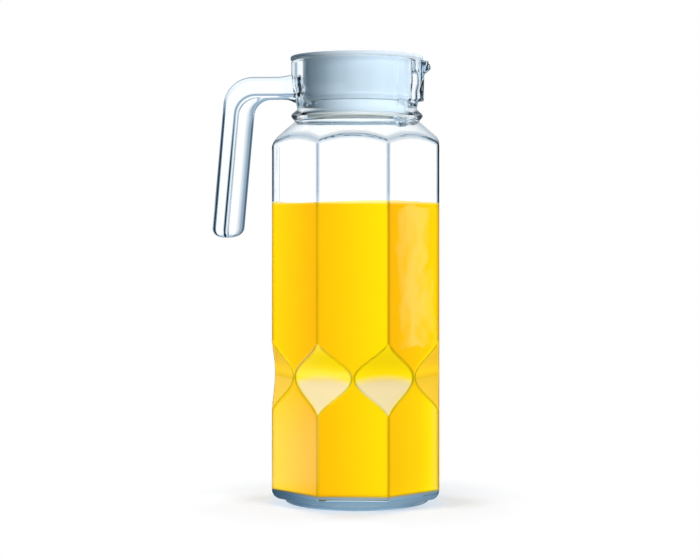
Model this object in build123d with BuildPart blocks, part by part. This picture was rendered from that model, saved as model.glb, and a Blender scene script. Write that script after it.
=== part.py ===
"""Large water jug: a faceted pressed-glass jug with a side handle and a push-in plastic lid.

Units are millimetres. +Z is up and the origin is on the jug's axis in the plane it stands on.
The handle is on the -X side and the pouring lip on the +X side.
"""

import os
from math import cos, radians, sin, tan

from build123d import *

os.makedirs("parts", exist_ok=True)

# ---- driving dimensions: glass body ---------------------------------------------------------
side_count = 8
across_flats = 98.5
wall = 2.6
shoulder_z = 212.0  # where the vertical corners end and the sloping shoulder starts
shoulder_angle = 41.0  # slope of the shoulder, from horizontal
floor_z = 7.6  # inside floor
inner_heel_radius = 5.0
heel_radius = 4.0
foot_radius = 42.6
foot_height = 3.0
foot_flare = 1.0
punt_radius = 40.0
punt_depth = 2.6
cut_clear = 3.0  # how far a cutting or buried form reaches past the surface that it meets

# ---- the band of almond-shaped scoops, one on each corner -----------------------------------
scoop_waist_z = 76.5
scoop_rise = 22.4  # from the waist to the upper tip
scoop_drop = 24.0  # from the waist to the lower tip
scoop_gap = 1.5  # width of the ridge left between two scoops at the waist
ogee_handle = 0.364  # length of the curve's handles, as a share of its height

# ---- neck, from the shoulder up --------------------------------------------------------------
bore_radius = 33.0
neck_root_radius = 37.2
bead_radius = 39.4
bead_height = 6.4
groove_radius = 35.8
groove_height = 2.4
collar_foot_radius = 37.0
collar_foot_height = 13.6
collar_foot_upright = 1.0
collar_radius = 39.4
collar_taper_height = 22.0
rim_height = 36.5
rim_round = 1.6

# ---- pouring lip -----------------------------------------------------------------------------
lip_reach = 44.5
lip_drop = 4.6  # from the rim down to the tip of the lip
lip_undercut = 1.9
lip_boss_radius = 40.1
lip_boss_bottom = 24.0
lip_tip_angle = 118.0
lip_round = 1.0
channel_reach = 41.3
channel_width = 17.0
channel_depth = 21.8
channel_foot_width = 7.0
channel_back = 7.0  # how far the cutter's open side lies inside the bore

# ---- handle ----------------------------------------------------------------------------------
handle_top_drop = 9.8  # from the rim down to the handle's top
handle_reach = 80.6  # from the axis to the grip's outer face, at the knee
handle_lean = 5.06
handle_knee_drop = 27.7  # where `handle_reach` is measured
handle_length = 95.9  # from the handle's top to the tip of the grip
flange_thickness = 8.0
flange_arm_thickness = 11.2
flange_width = 17.6
web_depth = 10.2
web_arm_depth = 1.8
web_width = 13.0
web_cover = 3.0  # glass of the flange over the web's hidden back
knee_radius_outer = 18.0
knee_radius_step = 12.0
knee_radius_inner = 10.5
grip_end_round = 3.4
web_end_round = 4.6
flange_round = 2.6
web_round = 4.2

# ---- lid and its sealing ring ------------------------------------------------------------------
lid_overlap = 0.4  # how far the lid's edge stands out past the collar
lid_edge_thickness = 2.2
lid_edge_round = 0.7
lid_seat_gap = 0.3
lid_rim_width = 4.0
lid_dish_depth = 1.4
lid_top_thickness = 1.8
plug_clearance = 0.5  # between the plug and the bore
plug_wall = 1.6
plug_depth = 32.3  # below the glass rim
plug_taper = 0.5
seal_drop = 21.6  # from the rim down to the top of the sealing ring's groove
seal_height = 3.0
seal_end_gap = 0.1
seal_running_gap = 0.06
seal_bore_gap = 0.25
seal_lip_round = 0.5
groove_depth = 1.1
groove_backing = 1.3
strainer_slots = 5
slot_width = 3.0
slot_height = 14.0
slot_drop = 5.6  # from the rim down to the top of the slots
slot_pitch_angle = 11.0
slot_side_angle = 180.0  # the strainer faces the handle while the jug is closed

# ---- derived sizes ------------------------------------------------------------------------------
half_side_angle = 180.0 / side_count
apothem = across_flats / 2
corner_radius = apothem / cos(radians(half_side_angle))
scoop_floor_radius = apothem * cos(radians(half_side_angle)) + scoop_gap / 2 * sin(radians(half_side_angle))
scoop_depth = corner_radius - scoop_floor_radius  # leaves the ridge between two scoops at the waist
scoop_half_width = apothem * sin(radians(half_side_angle)) + cut_clear
shoulder_slope = tan(radians(shoulder_angle))
shoulder_wall = wall / cos(radians(shoulder_angle))  # the wall's size measured along Z on the slope
neck_z = shoulder_z + (corner_radius - neck_root_radius) * shoulder_slope
rim_z = neck_z + rim_height
lid_z = rim_z + lid_seat_gap
lid_radius = collar_radius + lid_overlap
plug_radius = bore_radius - plug_clearance
plug_bottom_z = rim_z - plug_depth
groove_floor_radius = plug_radius - groove_depth
slot_cut = 2 * (plug_wall + cut_clear)  # centred on the plug's outside, so it goes through the wall
punt_ball_radius = (punt_radius**2 + punt_depth**2) / (2 * punt_depth)


def shoulder_height(radius):
    """Height of the outside of the shoulder at a radius."""
    return shoulder_z + (corner_radius - radius) * shoulder_slope


def facet_plane(angle):
    """Upright plane through the axis, with its local x axis pointing outwards at an angle."""
    outwards = (cos(radians(angle)), sin(radians(angle)), 0)
    across = (sin(radians(angle)), -cos(radians(angle)), 0)
    return Plane(origin=(0, 0, 0), x_dir=outwards, z_dir=across)


def faceted_form(inset, bottom_z, bottom_round, top_radius, drop):
    """Eight-sided form with its scoops and its sloping shoulder, set in from the outside by `inset`.

    `drop` is how far the shoulder lies under the outside, and `top_radius` is where it ends.
    """
    form_corner = (apothem - inset) / cos(radians(half_side_angle))
    peak_z = shoulder_height(top_radius) - drop
    scoop_edge = corner_radius - inset
    with BuildPart() as form:
        with BuildSketch(Plane.XY.offset(bottom_z)):
            RegularPolygon(radius=form_corner, side_count=side_count, rotation=half_side_angle)
        extrude(amount=peak_z - bottom_z)
        fillet(form.faces().sort_by(Axis.Z)[0].edges(), radius=bottom_round)
        with BuildSketch(Plane.XZ):
            with BuildLine():
                Polyline(
                    (0, bottom_z),
                    (form_corner + cut_clear, bottom_z),
                    (form_corner + cut_clear, shoulder_height(form_corner + cut_clear) - drop),
                    (top_radius, peak_z),
                    (0, peak_z),
                    close=True,
                )
            make_face()
        revolve(axis=Axis.Z, mode=Mode.INTERSECT)
        for corner in range(side_count):
            with BuildSketch(facet_plane(half_side_angle + corner * 360 / side_count)):
                with BuildLine():
                    Bezier(
                        (scoop_edge, scoop_waist_z + scoop_rise),
                        (scoop_edge, scoop_waist_z + scoop_rise * (1 - ogee_handle)),
                        (scoop_edge - scoop_depth, scoop_waist_z + scoop_rise * ogee_handle),
                        (scoop_edge - scoop_depth, scoop_waist_z),
                    )
                    Bezier(
                        (scoop_edge - scoop_depth, scoop_waist_z),
                        (scoop_edge - scoop_depth, scoop_waist_z - scoop_drop * ogee_handle),
                        (scoop_edge, scoop_waist_z - scoop_drop * (1 - ogee_handle)),
                        (scoop_edge, scoop_waist_z - scoop_drop),
                    )
                    Polyline(
                        (scoop_edge, scoop_waist_z - scoop_drop),
                        (corner_radius + cut_clear, scoop_waist_z - scoop_drop),
                        (corner_radius + cut_clear, scoop_waist_z + scoop_rise),
                        (scoop_edge, scoop_waist_z + scoop_rise),
                    )
                make_face()
            extrude(amount=scoop_half_width, both=True, mode=Mode.SUBTRACT)
    return form.part


def neck_form():
    """Solid turned form of the outside of the neck: bead, groove, tapered collar and rounded rim."""
    root_z = neck_z - cut_clear
    with BuildPart() as form:
        with BuildSketch(Plane.XZ):
            with BuildLine():
                Polyline(
                    (groove_radius, neck_z + bead_height),
                    (groove_radius, neck_z + bead_height + groove_height),
                    (collar_foot_radius, neck_z + collar_foot_height - collar_foot_upright),
                    (collar_foot_radius, neck_z + collar_foot_height),
                    (collar_radius, neck_z + collar_taper_height),
                    (collar_radius, rim_z - rim_round),
                )
                RadiusArc(
                    (collar_radius, rim_z - rim_round),
                    (collar_radius - rim_round, rim_z),
                    -rim_round,
                )
                Polyline(
                    (collar_radius - rim_round, rim_z),
                    (0, rim_z),
                    (0, root_z),
                    (neck_root_radius, root_z),
                    (neck_root_radius, neck_z),
                )
                ThreePointArc(
                    (neck_root_radius, neck_z),
                    (bead_radius, neck_z + bead_height / 2),
                    (groove_radius, neck_z + bead_height),
                )
            make_face()
        revolve(axis=Axis.Z)
    return form.part


def bore_form():
    """What is taken out of the neck: the bore, with a rounded mouth, down into the shoulder."""
    bore_bottom_z = shoulder_height(bore_radius) - shoulder_wall - cut_clear
    with BuildPart() as form:
        with BuildSketch(Plane.XZ):
            with BuildLine():
                Polyline(
                    (bore_radius + rim_round, rim_z + cut_clear),
                    (0, rim_z + cut_clear),
                    (0, bore_bottom_z),
                    (bore_radius, bore_bottom_z),
                    (bore_radius, rim_z - rim_round),
                )
                RadiusArc(
                    (bore_radius, rim_z - rim_round),
                    (bore_radius + rim_round, rim_z),
                    rim_round,
                )
                Line((bore_radius + rim_round, rim_z), (bore_radius + rim_round, rim_z + cut_clear))
            make_face()
        revolve(axis=Axis.Z)
    return form.part


def lip_form():
    """Pouring lip: a beak in plan, with an undercut nose over a narrow upright boss."""
    beak_base = collar_radius * cos(radians(90 - lip_tip_angle / 2))
    beak_half_width = (lip_reach - beak_base) * tan(radians(lip_tip_angle / 2))
    with BuildPart() as form:
        with BuildSketch(Plane.XZ):
            with BuildLine():
                Polyline(
                    (bore_radius, rim_z),
                    (channel_reach, rim_z),
                    (lip_reach, rim_z - lip_drop),
                    (lip_boss_radius, rim_z - lip_drop - lip_undercut),
                    (lip_boss_radius, rim_z - lip_boss_bottom),
                    (bore_radius, rim_z - lip_boss_bottom),
                    close=True,
                )
            make_face()
        extrude(amount=beak_half_width, both=True)
        nose_edges = form.edges().filter_by(Axis.Y).sort_by(Axis.X)[-2:]
        fillet(nose_edges, radius=lip_round)
        with BuildSketch(Plane.XY.offset(rim_z - lip_boss_bottom)):
            with BuildLine():
                Polyline(
                    (0, beak_half_width),
                    (beak_base, beak_half_width),
                    (lip_reach, 0),
                    (beak_base, -beak_half_width),
                    (0, -beak_half_width),
                    close=True,
                )
            make_face()
        extrude(amount=lip_boss_bottom, mode=Mode.INTERSECT)
    return form.part


def channel_form():
    """V-shaped pouring channel in the inside of the neck, opening upwards to the lip."""
    with BuildPart() as form:
        for depth, reach, width in (
            (channel_depth, bore_radius, channel_foot_width),
            (0, channel_reach, channel_width),
        ):
            with BuildSketch(Plane.XY.offset(rim_z - depth)):
                with BuildLine():
                    Polyline(
                        (bore_radius - channel_back, -width / 2),
                        (reach, 0),
                        (bore_radius - channel_back, width / 2),
                        close=True,
                    )
                make_face()
        loft()
    return form.part


neck_solid = neck_form()

# ---- glass body -------------------------------------------------------------------------------
with BuildPart() as jug_body:
    add(faceted_form(0, foot_height, heel_radius, neck_root_radius, 0))
    add(neck_solid)
    add(lip_form())
    with BuildSketch(Plane.XY.offset(foot_height)):
        Circle(foot_radius + foot_flare)
    with BuildSketch(Plane.XY):
        Circle(foot_radius)
    loft()
    with Locations((0, 0, punt_depth - punt_ball_radius)):
        Sphere(punt_ball_radius, mode=Mode.SUBTRACT)
    add(
        faceted_form(wall, floor_z, inner_heel_radius, bore_radius, shoulder_wall),
        mode=Mode.SUBTRACT,
    )
    add(bore_form(), mode=Mode.SUBTRACT)
    add(channel_form(), mode=Mode.SUBTRACT)

# ---- handle: a flat outer flange with a narrower web inside it, open at its lower end ------------
handle_top_z = rim_z - handle_top_drop
arm_step_z = handle_top_z - flange_arm_thickness
arm_under_z = arm_step_z - web_arm_depth
grip_end_z = handle_top_z - handle_length
knee_z = handle_top_z - handle_knee_drop


def grip_x(z, depth):
    """X of a line along the grip at a height, set in from the grip's outer face by `depth`."""
    return depth - handle_reach - (knee_z - z) * tan(radians(handle_lean))


def hook_outline(top_z, outer_depth, under_z, inner_depth):
    """Corners of an arm that leaves the neck, turns down at the knee and ends at the grip's tip."""
    return [
        (-bore_radius, top_z),
        (grip_x(top_z, outer_depth), top_z),
        (grip_x(grip_end_z, outer_depth), grip_end_z),
        (grip_x(grip_end_z, inner_depth), grip_end_z),
        (grip_x(under_z, inner_depth), under_z),
        (-bore_radius, under_z),
    ]


def hook_form(top_z, outer_depth, under_z, inner_depth, outer_round, inner_round, end_round, width):
    """Plain hook of one width, with rounded knees and a rounded tip."""
    corners = hook_outline(top_z, outer_depth, under_z, inner_depth)
    with BuildPart() as form:
        with BuildSketch(Plane.XZ) as outline:
            with BuildLine():
                Polyline(*corners, close=True)
            make_face()
            for index, radius in ((1, outer_round), (2, end_round), (3, end_round), (4, inner_round)):
                corner = Vector(corners[index][0], corners[index][1], 0)
                fillet(outline.vertices().sort_by_distance(corner)[0], radius=radius)
        extrude(amount=width / 2, both=True)
    return form.part


with BuildPart() as flange:
    add(
        hook_form(
            handle_top_z,
            0,
            arm_step_z,
            flange_thickness,
            knee_radius_outer,
            knee_radius_step,
            grip_end_round,
            flange_width,
        )
    )
    fillet(flange.faces().filter_by(Axis.Y).edges(), radius=flange_round)

with BuildPart() as web:
    add(
        hook_form(
            handle_top_z - web_cover,
            web_cover,
            arm_under_z,
            flange_thickness + web_depth,
            knee_radius_outer - web_cover,
            knee_radius_inner,
            web_end_round,
            web_width,
        )
    )
    fillet(web.faces().filter_by(Axis.Y).edges(), radius=web_round)

with BuildPart() as handle:
    add(flange.part)
    add(web.part)
    add(neck_solid, mode=Mode.SUBTRACT)

# ---- lid: an edge that rests on the rim, a shallow dish and a hollow plug with a strainer ---------
lid_top_z = lid_z + lid_edge_thickness
dish_z = lid_top_z - lid_dish_depth
groove_top_z = rim_z - seal_drop
groove_bottom_z = groove_top_z - seal_height - 2 * seal_end_gap
groove_back_radius = groove_floor_radius - groove_backing


def plug_outside(z):
    """Outer radius of the tapered plug at a height."""
    return plug_radius - plug_taper * (lid_z - z) / (lid_z - plug_bottom_z)


with BuildPart() as lid:
    with BuildSketch(Plane.XZ):
        with BuildLine():
            Polyline(
                (0, dish_z),
                (lid_radius - lid_rim_width - lid_dish_depth, dish_z),
                (lid_radius - lid_rim_width, lid_top_z),
                (lid_radius, lid_top_z),
                (lid_radius, lid_z),
                (plug_outside(lid_z), lid_z),
                (plug_outside(groove_top_z), groove_top_z),
                (groove_floor_radius, groove_top_z),
                (groove_floor_radius, groove_bottom_z),
                (plug_outside(groove_bottom_z), groove_bottom_z),
                (plug_outside(plug_bottom_z), plug_bottom_z),
                (plug_outside(plug_bottom_z) - plug_wall, plug_bottom_z),
                (groove_back_radius, groove_bottom_z - groove_backing),
                (groove_back_radius, groove_top_z + groove_backing),
                (plug_outside(groove_top_z) - plug_wall, groove_top_z + 2 * groove_backing),
                (plug_outside(dish_z) - plug_wall, dish_z - lid_top_thickness),
                (0, dish_z - lid_top_thickness),
                close=True,
            )
        make_face()
    revolve(axis=Axis.Z)
    edge_rings = lid.edges().filter_by(GeomType.CIRCLE).sort_by(SortBy.RADIUS)[-2:]
    fillet(edge_rings, radius=lid_edge_round)
    with Locations((0, 0, rim_z - slot_drop - slot_height / 2)):
        with PolarLocations(
            radius=plug_radius,
            count=strainer_slots,
            start_angle=slot_side_angle - slot_pitch_angle * (strainer_slots - 1) / 2,
            angular_range=slot_pitch_angle * (strainer_slots - 1),
            endpoint=True,
        ):
            Box(slot_cut, slot_width, slot_height, mode=Mode.SUBTRACT)

# ---- sealing ring in the plug's groove -------------------------------------------------------------
with BuildPart() as lid_seal:
    with BuildSketch(Plane.XZ) as seal_section:
        with BuildLine():
            Polyline(
                (groove_floor_radius + seal_running_gap, groove_top_z - seal_end_gap),
                (bore_radius - seal_bore_gap, groove_top_z - seal_end_gap),
                (bore_radius - seal_bore_gap, groove_top_z - seal_end_gap - seal_height),
                (groove_floor_radius + seal_running_gap, groove_top_z - seal_end_gap - seal_height),
                close=True,
            )
        make_face()
        fillet(seal_section.vertices().group_by(Axis.X)[-1], radius=seal_lip_round)
    revolve(axis=Axis.Z)

jug_body.part.label = "jug_body"
handle.part.label = "handle"
lid.part.label = "lid"
lid_seal.part.label = "lid_seal"

export_step(jug_body.part, "parts/jug_body.step")
export_step(handle.part, "parts/handle.step")
export_step(lid.part, "parts/lid.step")
export_step(lid_seal.part, "parts/lid_seal.step")
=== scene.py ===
"""Looks of the faceted glass jug: pressed glass, frosted lid, sealing ring and the drink inside.

Lengths are in millimetres until a mesh is made, and MM turns them into Blender's metres.
"""

import math

import bmesh
import bpy
import numpy as np
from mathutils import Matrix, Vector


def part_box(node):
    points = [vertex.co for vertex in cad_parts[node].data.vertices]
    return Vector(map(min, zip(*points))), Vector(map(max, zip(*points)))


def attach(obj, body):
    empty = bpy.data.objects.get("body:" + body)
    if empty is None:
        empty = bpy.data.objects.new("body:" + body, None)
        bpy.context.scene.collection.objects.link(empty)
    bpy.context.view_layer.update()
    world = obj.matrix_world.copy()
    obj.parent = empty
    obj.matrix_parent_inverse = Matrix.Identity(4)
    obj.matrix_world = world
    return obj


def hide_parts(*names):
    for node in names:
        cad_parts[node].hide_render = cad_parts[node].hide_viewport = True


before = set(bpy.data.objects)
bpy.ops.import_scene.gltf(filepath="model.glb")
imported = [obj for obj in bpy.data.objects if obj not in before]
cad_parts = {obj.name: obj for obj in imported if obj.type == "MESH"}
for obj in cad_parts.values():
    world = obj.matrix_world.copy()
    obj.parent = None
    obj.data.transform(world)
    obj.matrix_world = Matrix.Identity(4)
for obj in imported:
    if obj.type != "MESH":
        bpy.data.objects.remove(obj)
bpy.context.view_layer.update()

MM = 0.001
PI = math.pi


def box_mm(node):
    """Lowest and highest corner of a CAD node, in millimetres."""
    low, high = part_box(node)
    return np.array(low) / MM, np.array(high) / MM


_, body_high = box_mm("jug_body")
handle_low, handle_high = box_mm("handle")
lid_low, lid_high = box_mm("lid")
seal_low, seal_high = box_mm("lid_seal")

# ---- sizes of the glass ----------------------------------------------------------------------
SIDES = 8
HALF_SIDE = PI / SIDES
APOTHEM = body_high[1]
CORNER_RADIUS = APOTHEM / math.cos(HALF_SIDE)
WALL = 1.5  # thinner than a real wall, so that it hardly bends what lies behind it
RIM_Z = body_high[2]
FOOT_RADIUS, FOOT_HEIGHT, FOOT_ROUND = 42.2, 3.0, 1.3
PUNT_RADIUS, PUNT_DEPTH = 40.0, 2.6
HEEL_RADIUS = 6.0
INNER_HEEL_RADIUS = 4.0
FLOOR_Z, FLOOR_DOME = 7.6, 0.8
INNER_HEEL_TOP_Z = FLOOR_Z + INNER_HEEL_RADIUS
HEEL_TOP_Z = FOOT_HEIGHT + HEEL_RADIUS
BASE_TINT_AND_SHADE = (0.06, 0.72)  # the thick pressed base's tint, mostly painted shade: in front and at the sides
BASE_RIGHT_SHADE_SHARE = 0.6  # of the painted shade at the left side
BASE_CORNER_SHADE = 0.2  # painted shade added at the front left
SHOULDER_Z = 212.0
SHOULDER_ANGLE = math.radians(41.0)
SHOULDER_SLOPE = math.tan(SHOULDER_ANGLE)
SHOULDER_WALL = WALL / math.cos(SHOULDER_ANGLE)
WAIST_Z, SCOOP_RISE, SCOOP_DROP, SCOOP_GAP = 76.5, 22.4, 24.0, 1.5
SCOOP_LOW_Z, SCOOP_HIGH_Z = WAIST_Z - SCOOP_DROP, WAIST_Z + SCOOP_RISE
SCOOP_DEPTH = CORNER_RADIUS - APOTHEM * math.cos(HALF_SIDE) - SCOOP_GAP / 2 * math.sin(HALF_SIDE)
NECK_ROOT_RADIUS = 37.2
NECK_Z = SHOULDER_Z + (CORNER_RADIUS - NECK_ROOT_RADIUS) * SHOULDER_SLOPE
BORE_RADIUS = 33.0
RIM_ROUND = 1.6
LIP_REACH, LIP_HALF_ANGLE = 44.5, math.radians(59.0)
CHANNEL_REACH, CHANNEL_DEPTH, CHANNEL_HALF_ANGLE = 41.0, 21.8, math.radians(28.0)
CHANNEL_SINK = 2.0  # how far behind the wall of the bore the channel starts
LIP_SPREAD = 0.9  # angle from the lip beyond which the neck is plain

DRINK_Z = 176.8  # level of the drink

# how softly the pressed edges are rounded: (outside, inside)
CORNER_SOFT = (0.7, 0.4)
SCOOP_SOFT = (0.5, 0.4)
SHOULDER_SOFT = (2.4, 0.8)
LIP_NOSE_SOFT, LIP_SIDE_SOFT, CHANNEL_SOFT = 1.2, 0.8, 1.0

# how dark the painted shade along the edges is, which stands in for the dark surroundings that the
# edges bend into view, from 0 for clear glass to 1 for the darkest line
CORNER_TONE = 0.60
DRINK_CORNER_TONE = 0.30  # in front of the drink
SCOOP_TONE = 0.6
SIDE_WIDENING = 1.3  # painted shade lines at the corners to the jug's left and right are this much broader
SHOULDER_BAND, SHOULDER_ARCH_SHADE = 3.8, 0.42  # the painted arch of darker shade where a face turns into the shoulder

# ---- mesh density ----------------------------------------------------------------------------
COLUMNS = 352
COLUMN_PULL = 0.5  # how strongly the columns gather at the corners and at the middles of the faces


def smooth_min(a, b, soft):
    """Smaller of a and b, blended where they differ by less than `soft`."""
    soft = np.maximum(soft, 1e-6)
    share = np.clip(0.5 + 0.5 * (b - a) / soft, 0, 1)
    return b * (1 - share) + a * share - soft * share * (1 - share)


def smooth_max(a, b, soft):
    return -smooth_min(-a, -b, soft)


def smooth_step(x):
    x = np.clip(x, 0, 1)
    return x * x * (3 - 2 * x)


def eased(x, points):
    """Curve through (x, y) points that levels out at each of them."""
    y = np.full(np.shape(x), float(points[0][1]))
    for (x0, y0), (x1, y1) in zip(points, points[1:]):
        y = y + (y1 - y0) * smooth_step((x - x0) / (x1 - x0))
    return y


def column_angles():
    """Angles round the jug, gathered at the corners and face middles, where the edges run."""
    steps = COLUMNS // (2 * SIDES)
    u = np.arange(steps) / steps
    u = u - COLUMN_PULL / (2 * PI) * np.sin(2 * PI * u)
    return np.concatenate([(half + u) * HALF_SIDE for half in range(2 * SIDES)])


THETA = column_angles()
FACE_ANGLE = (THETA + HALF_SIDE) % (2 * HALF_SIDE) - HALF_SIDE  # from the nearest face's middle
LIP_ANGLE = np.abs((THETA + PI) % (2 * PI) - PI)  # from the pouring lip
LIP_BEND = np.minimum(LIP_ANGLE, LIP_SPREAD)
SIDEWAYS = np.clip(np.abs(np.cos(THETA)) * 1.6 - 0.6, 0, 1)  # 0 in front and behind, 1 at the sides
EVEN = np.ones(COLUMNS)
NONE = np.zeros(COLUMNS)


def scoop_cut(z):
    """How deep the scoop's curve has cut into a corner at a height."""
    reach = np.where(z > WAIST_Z, SCOOP_RISE, SCOOP_DROP)
    return SCOOP_DEPTH * 0.5 * (1 + np.cos(PI * np.clip((z - WAIST_Z) / reach, -1, 1)))


def facet_radius(z, side):
    """Radius of the faceted wall at each column and how much painted edge shade lies there.

    `side` is 0 for the outside and 1 for the inside.
    """
    inset = side * WALL
    off_face = np.abs(FACE_ANGLE)
    face = (APOTHEM - inset) / np.cos(off_face)
    next_face = (APOTHEM - inset) / np.cos(2 * HALF_SIDE - off_face)
    cut = scoop_cut(z)
    near_scoop = (CORNER_RADIUS - inset - cut) / np.cos(HALF_SIDE - off_face)
    far_scoop = (CORNER_RADIUS - inset - cut) / np.cos(HALF_SIDE + off_face)
    scoop_soft = SCOOP_SOFT[side] * np.clip(cut, 0, 1)
    radius = smooth_min(face, next_face, CORNER_SOFT[side])
    # painted shade along the corners, the scoops' edges and the shoulder's arch
    tone = CORNER_TONE if z > DRINK_Z else DRINK_CORNER_TONE
    corner_soft = 2 * CORNER_SOFT[side] * (1 + SIDE_WIDENING * SIDEWAYS)
    corner = tone * edge_share(face, next_face, corner_soft) ** 0.6 * (cut < 0.3)
    scoop = SCOOP_TONE * edge_share(radius, near_scoop, scoop_soft) * (cut > 0.05)
    edge = np.maximum(corner, scoop)
    radius = smooth_min(radius, near_scoop, scoop_soft)
    radius = smooth_min(radius, far_scoop, scoop_soft)
    cone = shoulder_radius(z + side * SHOULDER_WALL)
    edge = edge * np.clip((cone - radius) / SHOULDER_BAND + 0.5, 0, 1)
    edge = np.maximum(edge, SHOULDER_ARCH_SHADE * edge_share(radius, cone + 1.0, SHOULDER_BAND) ** 0.5)
    return smooth_min(radius, cone, SHOULDER_SOFT[side]), edge


def edge_share(a, b, soft):
    """1 where two blended surfaces meet, falling to 0 where one of them is alone."""
    return np.clip(1 - np.abs(a - b) / np.maximum(soft * 0.8, 1e-6), 0, 1)


def shoulder_radius(z):
    """Radius of the cone that cuts the shoulder off the faceted wall."""
    return CORNER_RADIUS - (z - SHOULDER_Z) / SHOULDER_SLOPE


NECK_OUTLINE = [
    (NECK_Z, NECK_ROOT_RADIUS),
    (NECK_Z + 3.6, 39.4),
    (NECK_Z + 7.9, 35.8),
    (NECK_Z + 13.2, 36.9),
    (NECK_Z + 22.0, 39.4),
]
LIP_OUTLINE = [
    (RIM_Z - 25.0, 30.0),
    (RIM_Z - 23.6, 40.0),
    (RIM_Z - 8.4, 40.2),
    (RIM_Z - 4.4, 44.3),
]
NOSE_FALL = 2.9  # how far the nose draws back from its tip to the rim


def lip_nose(z):
    """How far the lip reaches from the axis at a height: an upright boss under a rounded nose."""
    tip_z = LIP_OUTLINE[-1][0]
    return eased(z, LIP_OUTLINE) - NOSE_FALL * np.clip((z - tip_z) / (RIM_Z - tip_z), 0, 1) ** 1.8


def neck_radius(z):
    """Outside of the neck at each column, with the pouring lip."""
    turned = np.full(COLUMNS, float(eased(np.float64(z), NECK_OUTLINE)))
    wedge = LIP_REACH * math.sin(LIP_HALF_ANGLE) / np.sin(LIP_HALF_ANGLE + LIP_BEND)
    nose = float(lip_nose(np.float64(z))) / np.cos(LIP_BEND)
    lip = smooth_min(wedge, nose, LIP_NOSE_SOFT)
    return np.where(LIP_ANGLE < LIP_SPREAD, smooth_max(turned, lip, LIP_SIDE_SOFT), turned)


def bore_wall(z):
    """Inside of the neck at each column, with the V-shaped pouring channel."""
    turned = np.full(COLUMNS, BORE_RADIUS)
    rise = (z - (RIM_Z - CHANNEL_DEPTH)) / CHANNEL_DEPTH
    reach = BORE_RADIUS - CHANNEL_SINK + (CHANNEL_REACH - BORE_RADIUS + CHANNEL_SINK) * max(rise, 0)
    channel = reach * math.sin(CHANNEL_HALF_ANGLE) / np.sin(CHANNEL_HALF_ANGLE + LIP_BEND)
    return np.where(LIP_ANGLE < LIP_SPREAD, smooth_max(turned, channel, CHANNEL_SOFT), turned)


def ladder(*stretches):
    """Heights from (start, end, count) stretches, each without its last value but the final one."""
    parts = [np.linspace(a, b, n, endpoint=False) for a, b, n in stretches]
    return np.concatenate(parts + [[stretches[-1][1]]])


def outer_rows():
    """Rows of (radius, height, edge) from the middle of the base, round it and up to the rim."""
    # painted shade in the base: darker at the sides, most on the left, and more at the front left
    side = np.cos(THETA) ** 2 * np.where(np.cos(THETA) < 0, 1, BASE_RIGHT_SHADE_SHARE)
    front_left_shade = np.maximum(0, np.cos(THETA + PI * 0.75)) ** 6
    base_tint_and_shade = BASE_TINT_AND_SHADE[0] + (BASE_TINT_AND_SHADE[1] - BASE_TINT_AND_SHADE[0]) * side + BASE_CORNER_SHADE * front_left_shade
    rows = []
    for share in np.linspace(0.04, 1, 9):
        height = EVEN * PUNT_DEPTH * (1 - share**2)
        rows.append((EVEN * PUNT_RADIUS * share, height, base_tint_and_shade * 0.5))
    for turn in np.linspace(0.15, 1, 5):
        rows.append(
            (
                EVEN * (FOOT_RADIUS + FOOT_ROUND * math.sin(turn * PI / 2)),
                EVEN * FOOT_HEIGHT * (1 - math.cos(turn * PI / 2)),
                base_tint_and_shade * (0.4 + 0.6 * turn),
            )
        )
    body_radius, edge = facet_radius(np.float64(HEEL_TOP_Z), 0)
    for turn in np.linspace(0.06, 1, 9):
        rows.append(
            (
                body_radius - HEEL_RADIUS * (1 - math.sin(turn * PI / 2)),
                EVEN * (FOOT_HEIGHT + HEEL_RADIUS * (1 - math.cos(turn * PI / 2))),
                np.maximum(edge * turn, base_tint_and_shade),
            )
        )
    heights = ladder(
        (HEEL_TOP_Z + 0.5, HEEL_TOP_Z + 2.5, 4),
        (HEEL_TOP_Z + 2.5, SCOOP_LOW_Z - 1, 6),
        (SCOOP_LOW_Z - 1, SCOOP_HIGH_Z + 1, 62),
        (SCOOP_HIGH_Z + 1, SHOULDER_Z - 4, 9),
        (SHOULDER_Z - 4, SHOULDER_Z + 6, 20),
        (SHOULDER_Z + 6, NECK_Z - 0.3, 6),
    )
    for z in heights:
        radius, edge = facet_radius(z, 0)
        base = base_tint_and_shade * np.clip((HEEL_TOP_Z + 1 - z) / 1.5, 0, 1)
        rows.append((radius, EVEN * z, np.maximum(edge, base)))
    heights = ladder(
        (NECK_Z, NECK_Z + 14, 24),
        (NECK_Z + 14, RIM_Z - 9, 12),
        (RIM_Z - 9, RIM_Z - RIM_ROUND, 20),
    )
    return rows + [(neck_radius(z), EVEN * z, NONE) for z in heights]


def rim_rows(outer_radius, inner_radius):
    """Rounded rim between the outside and the bore."""
    middle = (outer_radius + inner_radius) / 2
    half = (outer_radius - inner_radius) / 2
    rows = []
    for turn in np.linspace(0, PI, 13)[1:-1]:
        across = math.copysign(abs(math.cos(turn)) ** 0.7, math.cos(turn))
        rows.append(
            (
                middle + half * across,
                EVEN * (RIM_Z - RIM_ROUND * (1 - math.sin(turn) ** 0.7)),
                NONE,
            )
        )
    return rows


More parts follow.
